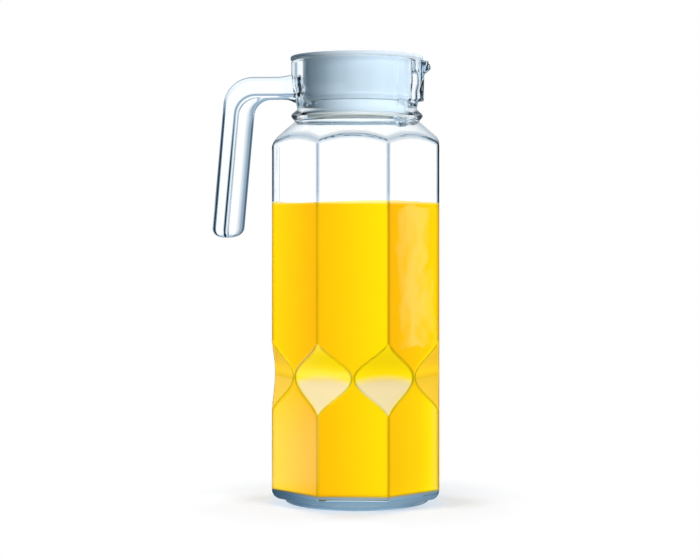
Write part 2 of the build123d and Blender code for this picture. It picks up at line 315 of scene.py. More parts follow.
def inner_rows():
    """Rows down the inside from the rim to the middle of the floor."""
    bore_foot = SHOULDER_Z + (CORNER_RADIUS - BORE_RADIUS) * SHOULDER_SLOPE - SHOULDER_WALL
    channel_foot = RIM_Z - CHANNEL_DEPTH - 2
    heights = ladder((RIM_Z - RIM_ROUND, channel_foot, 24), (channel_foot, bore_foot + 1, 5))
    rows = [(bore_wall(z), EVEN * z, NONE) for z in heights]
    heights = ladder(
        (bore_foot, SHOULDER_Z + 4, 5),
        (SHOULDER_Z + 4, SHOULDER_Z - 9, 14),
        (SHOULDER_Z - 9, SCOOP_HIGH_Z + 2, 8),
        (SCOOP_HIGH_Z + 2, SCOOP_LOW_Z - 2, 44),
        (SCOOP_LOW_Z - 2, INNER_HEEL_TOP_Z, 5),
    )
    rows += [(facet_radius(z, 1)[0], EVEN * z, NONE) for z in heights]
    return rows + floor_rows()


def floor_rows(extra=0.0):
    """Rows round the inner heel and over the domed floor, pushed `extra` into the glass."""
    radius, _ = facet_radius(np.float64(INNER_HEEL_TOP_Z), 1)
    rows = []
    for turn in np.linspace(0, 1, 8)[1:]:
        rows.append(
            (
                radius - INNER_HEEL_RADIUS * (1 - math.cos(turn * PI / 2)) + extra,
                EVEN * (FLOOR_Z + INNER_HEEL_RADIUS * (1 - math.sin(turn * PI / 2))) - extra,
                NONE,
            )
        )
    flat = radius - INNER_HEEL_RADIUS
    for share in np.linspace(1, 0.04, 8)[1:]:
        rows.append((flat * share, EVEN * (FLOOR_Z + FLOOR_DOME * (1 - share**2)) - extra, NONE))
    return rows


def band(first, second, size):
    """Four-sided faces between two rings of points, each given by its first point."""
    pairs = ((i, (i + 1) % size) for i in range(size))
    return [(first + i, first + j, second + j, second + i) for i, j in pairs]


def mesh_from_rows(name, rows, angles=None, attribute=None):
    """Closed mesh from rings of (radius, height, value), with a point at each end."""
    angles = THETA if angles is None else angles
    count = len(angles)
    radius = np.array([row[0] for row in rows])
    height = np.array([row[1] for row in rows])
    rings = np.stack([radius * np.cos(angles), radius * np.sin(angles), height], axis=-1)
    rings = rings.reshape(-1, 3)
    ends = [[0, 0, height[0].mean()], [0, 0, height[-1].mean()]]
    points = np.concatenate([rings, ends]) * MM
    first, last = len(rings), len(rings) + 1
    top = (len(rows) - 1) * count
    faces = []
    for row in range(len(rows) - 1):
        faces.extend(band(row * count, (row + 1) * count, count))
    faces.extend((first, (i + 1) % count, i) for i in range(count))
    faces.extend((last, top + i, top + (i + 1) % count) for i in range(count))
    mesh = bpy.data.meshes.new(name)
    mesh.from_pydata(points.tolist(), [], faces)
    mesh.validate()
    if attribute:
        values = np.concatenate([np.array([row[2] for row in rows]).reshape(-1), [0, 0]])
        layer = mesh.attributes.new(attribute, "FLOAT", "POINT")
        layer.data.foreach_set("value", values.astype(np.float32))
    return finish_mesh(name, mesh)


def finish_mesh(name, mesh):
    """Smooth-shaded object of a mesh, with its normals pointing out."""
    bm = bmesh.new()
    bm.from_mesh(mesh)
    bmesh.ops.recalc_face_normals(bm, faces=bm.faces)
    bm.to_mesh(mesh)
    bm.free()
    mesh.polygons.foreach_set("use_smooth", [True] * len(mesh.polygons))
    piece = bpy.data.objects.new(name, mesh)
    bpy.context.scene.collection.objects.link(piece)
    return piece


def combine(piece, tool, operation):
    """Joins or cuts a closed mesh with another, and removes the other."""
    modifier = piece.modifiers.new(operation, "BOOLEAN")
    modifier.operation = operation
    modifier.solver = "MANIFOLD"
    modifier.object = tool
    depsgraph = bpy.context.evaluated_depsgraph_get()
    result = bpy.data.meshes.new_from_object(piece.evaluated_get(depsgraph))
    piece.modifiers.clear()
    piece.data = result
    bpy.data.objects.remove(tool)
    return piece


# ---- glass body -----------------------------------------------------------------------------
def glass_body():
    """Walls, base, shoulder and neck in one closed mesh, with the painted edge shade on its points.
    """
    outside = outer_rows()
    inside = inner_rows()
    rim = rim_rows(outside[-1][0], inside[0][0])
    return mesh_from_rows("glass_jug", outside + rim + inside, attribute="edge")


# ---- handle ---------------------------------------------------------------------------------
HANDLE_TOP_Z = handle_high[2]
GRIP_END_Z = handle_low[2]
GRIP_LEAN = math.radians(5.06)
KNEE_Z = HANDLE_TOP_Z - 27.7
HANDLE_REACH = 80.6
HALF_FLANGE = handle_high[1]
HALF_WEB = 6.5
ROOT_X = -35.2
FLARE_X, FLARE_LENGTH = -47.0, 11.0  # from where, and over what length, it grows to its root
FLARE_ABOVE, FLARE_BELOW, FLARE_WIDTH = 1.2, 2.2, 0.3  # and by how much, the width as a share
GRIP_SHADE_Z = KNEE_Z + 14  # below this the painted edge shade changes from the arm's to the grip's
TIP_LENGTH, TIP_POWER = 6.5, 2.4  # rounded end of the grip, and how square its rounding is
# for each of the three lines along the handle: height of the arm, depth in the grip, knee radius
GUIDES = (
    (HANDLE_TOP_Z, 0.0, 18.0),
    (HANDLE_TOP_Z - 11.2, 8.0, 12.0),
    (HANDLE_TOP_Z - 13.0, 18.2, 10.5),
)


def guide_line(arm_z, depth, knee, arm_steps=26, knee_steps=22, grip_steps=34):
    """Points (x, z) along the arm, round the knee and down the leaning grip."""
    turn = PI / 2 - GRIP_LEAN
    corner_x = depth - HANDLE_REACH - (KNEE_Z - arm_z) * math.tan(GRIP_LEAN)
    tangent = knee * math.tan(turn / 2)
    knee_x = corner_x + tangent
    points = [(x, arm_z) for x in np.linspace(ROOT_X, knee_x, arm_steps, endpoint=False)]
    for angle in np.linspace(0, turn, knee_steps, endpoint=False):
        points.append((knee_x - knee * math.sin(angle), arm_z - knee * (1 - math.cos(angle))))
    x, z = knee_x - knee * math.sin(turn), arm_z - knee * (1 - math.cos(turn))
    end_x = depth - HANDLE_REACH - (KNEE_Z - GRIP_END_Z) * math.tan(GRIP_LEAN)
    for share in np.linspace(0, 1, grip_steps):
        points.append((x + (end_x - x) * share, z + (GRIP_END_Z - z) * share))
    return np.array(points)


def handle_section(flange, web, half_flange, half_web, down):
    """Half outline (depth, width, edge) of the T-shaped section, from outer to inner middle.

    `down` goes from 0 in the arm to 1 at the grip's end, where the painted edge shade is darkest.
    """
    round_outer = min(2.6, flange * 0.45)
    round_step = 1.5
    fillet = min(0.7, web * 0.3)
    round_inner = min(4.2, web * 0.85)
    # painted shade along the handle's edges, darkest down the grip and along the step
    arm_edge_shades = np.array([0.9, 0.7, 0.3, 0.0, 0.0, 0.0])
    grip_edge_shades = np.array([0.35, 0.35, 0.4, 1.0, 0.9, 0.0])
    knee = smooth_step(down * 5)
    dark = min(1, 0.62 + 0.8 * down)
    # each corner's centre, radius, first and last angle, and the painted shade of its points
    corners = (
        (
            (round_outer, half_flange - round_outer),
            round_outer,
            PI,
            PI / 2,
            arm_edge_shades + (grip_edge_shades - arm_edge_shades) * knee,
        ),
        (
            (flange - round_step, half_flange - round_step),
            round_step,
            PI / 2,
            0,
            dark * np.array([0, 0.5, 1, 1, 1, 0.6]),
        ),
        (
            (flange + fillet, half_web + fillet),
            fillet,
            PI,
            PI * 1.5,
            dark * np.array([0.75, 0.5, 0.3, 0.0]),
        ),
        (
            (flange + web - round_inner, half_web - round_inner),
            round_inner,
            PI / 2,
            0,
            (0.3 + 0.7 * knee) * np.array([0.0, 0.3, 0.38, 0.4, 0.8, 0.8]),
        ),
    )
    points = [(0, 0, 0), (0, half_flange * 0.5, 0)]
    for (x, y), radius, start, end, tones in corners:
        for angle, tone in zip(np.linspace(start, end, len(tones)), tones):
            points.append((x + radius * math.cos(angle), y + radius * math.sin(angle), tone))
    points += [(flange + web, half_web * 0.2, 0.5), (flange + web, 0, 0.3)]
    return points


def handle_ring(start, middle, end):
    """Points and tones of one section, from its outer line over the step to its inner line."""
    flare = smooth_step((start[0] - FLARE_X) / FLARE_LENGTH)
    start = start + (0, FLARE_ABOVE * flare)
    end = end - (0, FLARE_BELOW * flare)
    flange = np.linalg.norm(middle - start)
    web = np.linalg.norm(end - middle)
    widen = 1 + FLARE_WIDTH * flare
    down = float(np.clip((GRIP_SHADE_Z - middle[1]) / (GRIP_SHADE_Z - GRIP_END_Z), 0, 1))
    half = handle_section(flange, web, HALF_FLANGE * widen, HALF_WEB * widen, down)
    whole = half + [(depth, -width, tone) for depth, width, tone in reversed(half[1:-1])]
    ring = []
    for depth, width, _ in whole:
        if depth <= flange:
            spot = start + (middle - start) * depth / flange
        else:
            spot = middle + (end - middle) * (depth - flange) / web
        ring.append((spot[0], width, spot[1]))
    return np.array(ring), [tone for _, _, tone in whole]


def rounded_tip(rings, tones):
    """Closes the grip with shrinking rings."""
    along = np.array([-math.sin(GRIP_LEAN), 0, -math.cos(GRIP_LEAN)])
    tip = rings[-1]
    centre = tip.mean(axis=0)
    rings = [ring for ring in rings if ring[:, 2].mean() > tip[:, 2].mean() + TIP_LENGTH]
    tones = tones[: len(rings)]
    for share in np.sin(np.linspace(0, PI / 2, 14)[:-1]).tolist() + [0.9995]:
        shrink = (1 - share**TIP_POWER) ** (1 / TIP_POWER)
        rings.append(centre + (tip - centre) * shrink - along * TIP_LENGTH * (1 - share))
        tones.append(tones[-1])
    return rings, tones


def glass_handle():
    """Arm, knee and grip, which leans out and ends freely."""
    lines = [guide_line(*guide) for guide in GUIDES]
    rings, tones = zip(*(handle_ring(*spots) for spots in zip(*lines)))
    rings, tones = rounded_tip(rings, list(tones))
    size = len(rings[0])
    faces = []
    for row in range(len(rings) - 1):
        faces.extend(band(row * size, (row + 1) * size, size))
    last = (len(rings) - 1) * size
    faces.append(tuple(range(size))[::-1])
    faces.append(tuple(range(last, last + size)))
    mesh = bpy.data.meshes.new("glass_handle")
    mesh.from_pydata([tuple(point * MM) for ring in rings for point in ring], [], faces)
    layer = mesh.attributes.new("edge", "FLOAT", "POINT")
    layer.data.foreach_set("value", np.concatenate(tones).astype(np.float32))
    return finish_mesh("glass_handle", mesh)


# ---- lid and sealing ring -------------------------------------------------------------------
LID_STEPS = 192
LID_ANGLES = np.arange(LID_STEPS) * 2 * PI / LID_STEPS
LID_EDGE_HEIGHT = 2.2
DISH_DEPTH, DISH_SKIN = 1.4, 1.8
DISH_INSET, LAND_INSET = 6.2, 4.4  # from the edge, at the foot and at the top of the dish's slope
PLUG_RADIUS = BORE_RADIUS - 0.5
PLUG_TAPER = 0.5
GROOVE_TOP_Z = RIM_Z - 21.6
GROOVE_BOTTOM_Z = GROOVE_TOP_Z - 3.2
GROOVE_FLOOR = PLUG_RADIUS - 1.1
GROOVE_BACKING = 1.3  # plastic behind the groove
SEAL_ROOM = 0.06  # between the groove's floor and the seal
SLOT_COUNT, SLOT_STEP = 5, math.radians(11.0)
SLOT_TOP_Z, SLOT_HEIGHT, SLOT_WIDTH = RIM_Z - 5.6, 14.0, 3.0
SLOT_CUT = (-3.5, 2.5)  # how far the cut reaches from the plug's outside, inwards and outwards


def lathe(name, outline):
    """Turned closed mesh from (radius, height) points, which run from axis to axis."""
    even = np.ones(LID_STEPS)
    rows = [(even * r, even * z, even * 0) for r, z in outline]
    return mesh_from_rows(name, rows, angles=LID_ANGLES)


def rounded(points, radii, steps=5):
    """Outline with each inner point rounded by its radius."""
    points = [np.array(p, float) for p in points]
    result = [points[0]]
    for before, here, after, radius in zip(points, points[1:], points[2:], radii):
        length_in, length_out = np.linalg.norm(here - before), np.linalg.norm(after - here)
        into, out = (here - before) / length_in, (after - here) / length_out
        half_turn = math.acos(np.clip(into @ out, -1, 1)) / 2
        if radius <= 0 or half_turn < 0.01:
            result.append(here)
            continue
        reach = min(radius * math.tan(half_turn), 0.48 * length_in, 0.48 * length_out)
        first, last = here - into * reach, here + out * reach
        for t in np.linspace(0, 1, steps):
            result.append((1 - t) ** 2 * first + 2 * t * (1 - t) * here + t**2 * last)
    result.append(points[-1])
    return result


def frosted_lid():
    """Dished disc with a hollow plug, which has a groove for the seal and strainer slots."""
    top, bottom, edge = lid_high[2], lid_low[2], lid_high[0]
    seat = top - LID_EDGE_HEIGHT
    dish = top - DISH_DEPTH
    under = dish - DISH_SKIN
    plug_end = PLUG_RADIUS - PLUG_TAPER
    back = GROOVE_FLOOR - GROOVE_BACKING
    # each point with the radius of its rounding
    corners = (
        ((edge - DISH_INSET, dish), 1.2),
        ((edge - LAND_INSET, top), 0.5),
        ((edge, top), 0.9),
        ((edge, seat), 0.7),
        ((PLUG_RADIUS, seat), 0.4),
        ((PLUG_RADIUS - 0.35, GROOVE_TOP_Z), 0.25),
        ((GROOVE_FLOOR, GROOVE_TOP_Z), 0.2),
        ((GROOVE_FLOOR, GROOVE_BOTTOM_Z), 0.2),
        ((PLUG_RADIUS - 0.42, GROOVE_BOTTOM_Z), 0.25),
        ((plug_end, bottom), 0.6),
        ((plug_end - 1.6, bottom), 0.5),
        ((back, GROOVE_BOTTOM_Z - 1.3), 1.0),
        ((back, GROOVE_TOP_Z + 1.3), 1.0),
        ((PLUG_RADIUS - 2.0, GROOVE_TOP_Z + 2.6), 1.0),
        ((PLUG_RADIUS - 1.6, under), 1.5),
    )
    points = [(0, dish)] + [point for point, _ in corners] + [(0, under)]
    turned = [tuple(p) for p in rounded(points, [radius for _, radius in corners])[1:-1]]
    lid = lathe("frosted_lid", [(0.5, dish)] + turned + [(0.5, under)])
    for index in range(SLOT_COUNT):
        slot = slot_cutter(PI + SLOT_STEP * (index - (SLOT_COUNT - 1) // 2))
        lid = combine(lid, slot, "DIFFERENCE")
    return lid


def slot_cutter(angle):
    """Bar with rounded ends, lying radially through the plug's wall."""
    half = SLOT_WIDTH / 2
    outline = []
    for centre, start in ((SLOT_TOP_Z - half, 0), (SLOT_TOP_Z - SLOT_HEIGHT + half, PI)):
        turns = [start + PI * step / 8 for step in range(9)]
        outline += [(half * math.cos(turn), centre + half * math.sin(turn)) for turn in turns]
    radial = np.array([math.cos(angle), math.sin(angle), 0])
    across = np.array([-math.sin(angle), math.cos(angle), 0])
    points = []
    for beyond in SLOT_CUT:
        spot = radial * (PLUG_RADIUS + beyond)
        points += [(spot + across * y + np.array([0, 0, z])) * MM for y, z in outline]
    size = len(outline)
    caps = [tuple(range(size))[::-1], tuple(range(size, 2 * size))]
    mesh = bpy.data.meshes.new("slot")
    mesh.from_pydata(points, [], band(0, size, size) + caps)
    return finish_mesh("slot", mesh)


def ring_mesh(name, outline):
    """Closed ring turned from a closed (radius, height) outline."""
    size = len(outline)
    points, faces = [], []
    for angle in LID_ANGLES:
        across, along = math.cos(angle), math.sin(angle)
        points += [(r * across * MM, r * along * MM, z * MM) for r, z in outline]
    for step in range(LID_STEPS):
        faces.extend(band(step * size, (step + 1) % LID_STEPS * size, size))
    mesh = bpy.data.meshes.new(name)
    mesh.from_pydata(points, [], faces)
    return finish_mesh(name, mesh)


def sealing_ring():
    """Ring in the plug's groove, a little hollow between its two rubbing edges."""
    inner = GROOVE_FLOOR + SEAL_ROOM
    outer = seal_high[0]
    low, high = seal_low[2], seal_high[2]
    outline = [
        (inner, low),
        (outer - 0.5, low),
        (outer - 0.1, low + 0.3),
        (outer, low + 0.7),
        (outer - 0.25, (low + high) / 2),
        (outer, high - 0.7),
        (outer - 0.1, high - 0.3),
        (outer - 0.5, high),
        (inner, high),
    ]
    return ring_mesh("sealing_ring", outline)


# ---- drink ----------------------------------------------------------------------------------
MENISCUS = 1.1
DRINK_WAVE, WAVE_TURN = 0.6, math.radians(70)
DRINK_OVERLAP = 0.35  # how far the drink reaches into the glass
# painted shade in the drink's tone: the scoops at the sides get less painted light than those in
# front
SIDE_SCOOP_SHADE = 0.75
FRONT_SCOOP_LIGHT, FRONT_SCOOP_REFLECTION = 1.2, 0.7  # painted light in the front scoops: the upper half, and a painted reflection added in the lower half
REFLECTION_ARCH, REFLECTION_BLEND = 3.0, 6.0  # rise of the line where that painted reflection begins, and how soft it is
LOW_RIGHT_LIGHT = 0.35  # painted light: lighter below the waist, on the corner to the right of the front
DRINK_UNDERSIDE_GLOW = (0.32, 0.46, 0.56, 1)  # painted glow on the drink's underside, standing in for the floor's light in the thick bottom of the glass


def drink_body():
    """The drink fills the inside up to its level and reaches a little into the glass."""
    surface, _ = facet_radius(np.float64(DRINK_Z), 1)
    wave = DRINK_WAVE * np.cos(3 * (THETA + WAVE_TURN))
    rows = []
    for share in (0.04, 0.4, 0.75, 0.9, 0.95, 0.975, 0.99):
        rise = MENISCUS * max(0, (share - 0.9) / 0.1) ** 2
        rows.append((surface * share, DRINK_Z + rise + wave * share, painted_drink_light(DRINK_Z)))
    heights = ladder(
        (DRINK_Z + MENISCUS, DRINK_Z - 2, 4),
        (DRINK_Z - 2, SCOOP_HIGH_Z + 2, 8),
        (SCOOP_HIGH_Z + 2, SCOOP_LOW_Z - 2, 44),
        (SCOOP_LOW_Z - 2, INNER_HEEL_TOP_Z, 5),
    )
    for z in heights:
        radius, _ = facet_radius(z, 1)
        near_top = np.clip((z - DRINK_Z) / 4 + 1, 0, 1)
        rows.append((radius + DRINK_OVERLAP, z + wave * near_top, painted_drink_light(z)))
    rows += [(r, z, painted_drink_light(FLOOR_Z)) for r, z, _ in floor_rows(DRINK_OVERLAP)]
    return mesh_from_rows("drink", rows, attribute="tone")


def painted_drink_light(z):
    """Painted light and shade: a soft change from deeper to lighter across each face, as light
    through the drink gives, with painted light and reflection in the scoops.
    """
    across = FACE_ANGLE / HALF_SIDE
    front = (THETA + PI / 2 + PI) % (2 * PI) - PI
    tone = 0.5 + 0.5 * np.where(front > -HALF_SIDE, across, -across)
    corner = CORNER_RADIUS - WALL - scoop_cut(z)
    inside = corner / np.cos(HALF_SIDE - np.abs(FACE_ANGLE)) - (APOTHEM - WALL) / np.cos(FACE_ANGLE)
    scoop = np.clip(0.5 - inside / 0.5, 0, 1) * (scoop_cut(z) > 0.2)
    corner_angle = np.where(FACE_ANGLE > 0, HALF_SIDE - FACE_ANGLE, -HALF_SIDE - FACE_ANGLE)
    arch = REFLECTION_ARCH * (corner_angle / HALF_SIDE) ** 2
    painted_reflection = smooth_step((WAIST_Z + REFLECTION_ARCH - arch - z) / REFLECTION_BLEND)
    in_front = np.abs(front) < 2 * HALF_SIDE
    scoop_light = np.where(in_front, FRONT_SCOOP_LIGHT + FRONT_SCOOP_REFLECTION * painted_reflection, SIDE_SCOOP_SHADE)
    low_right_light = smooth_step((WAIST_Z - z) / 12) * (front > HALF_SIDE) * (front < 3 * HALF_SIDE)
    return (tone + LOW_RIGHT_LIGHT * low_right_light) * (1 - scoop) + scoop_light * scoop


# ---- materials ------------------------------------------------------------------------------
class Shading:
    """Makes and joins the shader nodes of a material or world."""

    def __init__(self, owner, output):
        owner.use_nodes = True
        self.owner = owner
        self.tree = owner.node_tree
        self.tree.nodes.clear()
        self.output = self.node(output)

    def feed(self, socket, value):
        """Joins a node or one of its outputs to the socket, or sets the socket to a value."""
        if isinstance(value, bpy.types.Node):
            value = value.outputs[0]
        if isinstance(value, bpy.types.NodeSocket):
            self.tree.links.new(value, socket)
        else:
            socket.default_value = value

    def node(self, kind, inputs=(), **attributes):
        """New node, with its inputs given by name or number, and its attributes."""
        node = self.tree.nodes.new("ShaderNode" + kind)
        for key, value in attributes.items():
            setattr(node, key, value)
        for key, value in dict(inputs).items():
            self.feed(node.inputs[key], value)
        return node

    def math(self, operation, *values, **attributes):
        return self.node("Math", enumerate(values), operation=operation, **attributes)

    def product(self, first, *others):
        for other in others:
            first = self.math("MULTIPLY", first, other)
        return first

    def between(self, value, start, end, low=0.0, high=1.0):
        """`low` where the value is at `start`, changing evenly to `high` at `end`."""
        return self.node("MapRange", enumerate((value, start, end, low, high)))

    def blend(self, share, first, second):
        """Colour between two colours."""
        return self.node("Mix", {0: share, 6: first, 7: second}, data_type="RGBA").outputs[2]

    def mix(self, share, first, second):
        """Surface between two surfaces."""
        return self.node("MixShader", enumerate((share, first, second)))

    def ramp(self, value, stops):
        """Colour by value, from its (position, colour) stops."""
        node = self.node("ValToRGB", {0: value})
        elements = node.color_ramp.elements
        while len(elements) < len(stops):
            elements.new(0.5)
        for element, (position, colour) in zip(elements, stops):
            element.position = position
            element.color = colour
        return node

    def axes(self, vector):
        """The x, y and z of a vector."""
        return self.node("SeparateXYZ", {0: vector}).outputs

    def place(self):
        return self.node("TexCoord").outputs["Object"]

    def noise(self, scale, detail=2.0):
        settings = {"Vector": self.place(), "Scale": scale, "Detail": detail}
        return self.node("TexNoise", settings).outputs["Fac"]

    def bump(self, height, strength, distance):
        return self.node("Bump", {"Height": height, "Strength": strength, "Distance": distance})

    def emission(self, colour=(1, 1, 1, 1), strength=1.0):
        return self.node("Emission", {"Color": colour, "Strength": strength})

    def rays(self, kind):
        """1 for rays of a kind, such as Camera or Glossy, and 0 for others."""
        return self.node("LightPath").outputs[f"Is {kind} Ray"]

    def finish(self, surface, volume=None):
        self.feed(self.output.inputs["Surface"], surface)
        if volume:
            self.feed(self.output.inputs["Volume"], volume)
        return self.owner


def new_material(name):
    return Shading(bpy.data.materials.new(name), "OutputMaterial")


GLASS_TINT = (0.985, 0.995, 1.0, 1)
# painted shade as the glass colour, by how much of an edge it is: clear, corner line, darkest line
EDGE_SHADE_TINTS = (
    (0.0, GLASS_TINT),
    (0.6, (0.31, 0.42, 0.53, 1)),
    (0.8, (0.12, 0.17, 0.21, 1)),
    (1.0, (0.01, 0.02, 0.03, 1)),
)
GLASS_IOR = 1.35  # a little low, which keeps the walls as clean as in studio pictures
LAMP_TINT = (0.93, 0.96, 0.97, 1)  # what lamplight keeps where it passes through the glass
DEPTH_TINT, DEPTH_DENSITY = (0.55, 0.78, 0.95, 1), 14.0
ARM_X, GRIP_X = -40.0, -54.0  # the arm and the grip lie to the left of these
# the front of the neck is clear above the first height, and less so from the second to the third
NECK_CLEAR_Z = (228.6, 234.0, 238.0)


def seen_straight(shading, edge, facing, camera_ray):
    """Share of the glass that a look from the camera passes without being bent.

    It is 1 at edges of the handle, at upright edges over the drink that turn away, and at the
    front of the neck, which shows the plug behind it undisturbed.
    """
    x, _, z = shading.axes(shading.place())
    arm_from, arm_full = (SHOULDER_Z + 4) * MM, (SHOULDER_Z + 8) * MM
    limit = shading.between(z, arm_from, arm_full, GRIP_X * MM, ARM_X * MM)
    on_handle = shading.math("LESS_THAN", x, limit)
    over_drink = shading.math("GREATER_THAN", z, DRINK_Z * MM)
    under_shoulder = shading.math("LESS_THAN", z, (SHOULDER_Z - 3) * MM)
    turned_away = shading.between(facing, 0.42, 0.55)
    on_side = shading.product(over_drink, under_shoulder, turned_away)
    painted = shading.between(edge, 0.15, 0.3)
    edges = shading.product(painted, shading.math("MAXIMUM", on_handle, on_side))
    start, fading, end = (height * MM for height in NECK_CLEAR_Z)
    neck = shading.product(
        camera_ray,
        shading.math("GREATER_THAN", z, start),
        shading.between(z, fading, end, 1.0, 0.0),
        shading.between(facing, 0.45, 0.7, 1.0, 0.0),
        shading.math("GREATER_THAN", x, ARM_X * MM),
    )
    return shading.math("MAXIMUM", edges, neck)


def glass_material():
    """Clear pressed glass: faintly blue, with painted shade along its edges and where it is seen
    edge-on.
    """
    shading = new_material("clear_pressed_glass")
    camera_ray = shading.rays("Camera")
    painted = shading.node("Attribute", attribute_name="edge").outputs["Fac"]
    facing = shading.node("LayerWeight", {0: 0.5}).outputs["Facing"]
    # painted shade where the glass is seen edge-on
    rim = shading.between(facing, 0.80, 1.0, 0.0, 0.6)
    either = shading.math("MAXIMUM", painted, rim)
    edge = shading.math("MULTIPLY", either, camera_ray, use_clamp=True)
    tint = shading.ramp(edge, EDGE_SHADE_TINTS)
    # the tint is squared here, since bent light passes a surface with the root of its colour
    glass = shading.node(
        "BsdfPrincipled",
        {
            "Transmission Weight": 1.0,
            "Roughness": 0.0,
            "IOR": GLASS_IOR,
            "Base Color": shading.node("VectorMath", {0: tint, 1: tint}, operation="MULTIPLY"),
            "Normal": shading.bump(shading.noise(38.0), 0.06, 0.002),
        },
    )
    straight = shading.node("BsdfTransparent", {0: tint})
    body = shading.mix(seen_straight(shading, edge, facing, camera_ray), glass, straight)
    lamplight = shading.math("MAXIMUM", shading.rays("Shadow"), shading.rays("Diffuse"))
    surface = shading.mix(lamplight, body, shading.node("BsdfTransparent", {0: LAMP_TINT}))
    depth = shading.node("VolumeAbsorption", {"Color": DEPTH_TINT, "Density": DEPTH_DENSITY})
    return shading.finish(surface, depth)


LID_TRANSLUCENCE = 0.06
LID_TINTS = ((0.72, 0.77, 0.82, 1), (0.79, 0.83, 0.87, 1))
# painted shade: the top disc is darker than the rest of the lid
LID_DISC_SHADE = (0.62, 0.67, 0.72, 1)
PLUG_INSIDE = 30.3  # radius just outside the hollow of the plug
LID_GLOW, LID_GLOW_LEFT = 0.6, 0.02  # strength of the painted glow, from the middle to the right, and at the left


def frosted_material():
    """Matt translucent plastic that lets light through and shows a fine mould grain."""
    shading = new_material("frosted_plastic")
    grain = shading.noise(900.0, 3.0)
    x, _, z = shading.axes(shading.place())
    disc = shading.between(z, (RIM_Z - 1.5) * MM, RIM_Z * MM)
    tint = shading.blend(disc, shading.blend(shading.noise(45.0), *LID_TINTS), LID_DISC_SHADE)
    # painted light: the underside and the hollow glow, standing in for the light that the glass
    # throws up, with painted shade on the left where it is least
    normal = shading.node("NewGeometry").outputs["Normal"]
    downward = shading.between(shading.axes(normal)[2], -0.7, -0.95)
    level = shading.node("VectorMath", {0: shading.place(), 1: (1, 1, 0)}, operation="MULTIPLY")
    radius = shading.node("VectorMath", {0: level}, operation="LENGTH").outputs["Value"]
    inside = shading.math("LESS_THAN", radius, PLUG_INSIDE * MM)
    hollow = shading.product(inside, shading.math("LESS_THAN", z, RIM_Z * MM))
    across = shading.between(x, -0.025, 0.0, LID_GLOW_LEFT, LID_GLOW)
    plastic = shading.node(
        "BsdfPrincipled",
        {
            "Transmission Weight": 0.15,
            "IOR": 1.45,
            "Specular IOR Level": 0.15,
            "Emission Color": tint,
            "Emission Strength": shading.product(shading.math("MAXIMUM", downward, hollow), across),
            "Base Color": tint,
            "Roughness": shading.between(grain, 0.3, 0.7, 0.38, 0.5),
            "Normal": shading.bump(grain, 0.25, 0.0002),
        },
    )
    let_through = shading.node("BsdfTranslucent", {"Color": tint})
    return shading.finish(shading.mix(LID_TRANSLUCENCE, plastic, let_through))


def seal_material():
    """Soft satin rubber with a fine uneven sheen."""
    shading = new_material("seal_rubber")
    noise = shading.noise(300.0)
    rubber = shading.node(
        "BsdfPrincipled",
        {
            "Roughness": 0.45,
            "Base Color": shading.blend(noise, (0.54, 0.60, 0.66, 1), (0.62, 0.67, 0.72, 1)),
            "Normal": shading.bump(noise, 0.15, 0.0002),
        },
    )
    return shading.finish(rubber)


# colour of the drink by half its tone of painted light and shade: across the faces, in the scoops'
# upper and lower halves, the palest stop being a painted reflection
DRINK_TINTS = (
    (0.0, (0.88, 0.395, 0.0, 1)),
    (0.5, (0.95, 0.570, 0.0, 1)),
    (0.6, (1.0, 0.665, 0.0, 1)),
    (0.95, (0.71, 0.52, 0.24, 1)),
)
DRINK_FRINGE = (1.0, 0.82, 0.30, 1)  # where the drink creeps up the glass and thins out


def drink_material():
    """Opaque orange-yellow juice with faint pulp, with painted light and shade deeper to lighter
    across each face, and painted glows in the side scoops and underneath.
    """
    shading = new_material("orange_drink")
    tone = shading.node("Attribute", attribute_name="tone").outputs["Fac"]
    drift = shading.math("MULTIPLY_ADD", shading.noise(60.0, 3.0), 0.12, -0.06)
    tint = shading.ramp(shading.product(shading.math("ADD", tone, drift), 0.5), DRINK_TINTS)
    z = shading.axes(shading.place())[2]
    thin = shading.between(z, (DRINK_Z - 0.6) * MM, (DRINK_Z + MENISCUS) * MM, 0.0, 0.8)
    tint = shading.blend(thin, tint, DRINK_FRINGE)
    # painted light: a glow that stands in for the light from below and behind, which brightens the
    # upper halves of the scoops at the jug's sides
    normal_x, _, normal_z = shading.axes(shading.node("NewGeometry").outputs["Normal"])
    side_scoop_glow = shading.between(shading.math("ABSOLUTE", normal_x), 0.6, 0.75, 0.0, 0.36)
    juice = shading.node(
        "BsdfPrincipled",
        {
            "Emission Color": tint,
            "Emission Strength": shading.product(side_scoop_glow, shading.between(normal_z, 0.08, -0.15)),
            "Roughness": 0.6,
            "Specular IOR Level": 0.0,
            "Base Color": tint,
        },
    )
    # painted glow over the bottom of the drink
    deep = shading.between(z, (FLOOR_Z + 1.6) * MM, (FLOOR_Z + 0.4) * MM)
    return shading.finish(shading.mix(deep, juice, shading.emission(DRINK_UNDERSIDE_GLOW)))


FLOOR_COLOUR = (0.63, 0.635, 0.67, 1)
FLOOR_BOUNCE = (0.14, 0.20, 0.24, 1)
FLOOR_LIFT = 0.24  # what white lacks where the lamps alone light the floor
FLOOR_FADE = (0.064, 0.108)  # distances from the axis between which the shadow fades to plain white
FLOOR_PATCH = (1.7, 1.9, 2.2, 1)  # the lit floor to the left, as the gloss shows it
SHADE = (0.09, 0.13, 0.16, 1)  # what the outside of the glass reflects
BEHIND = (0.36, 0.44, 0.50, 1)  # and what it reflects where it turns away from the camera


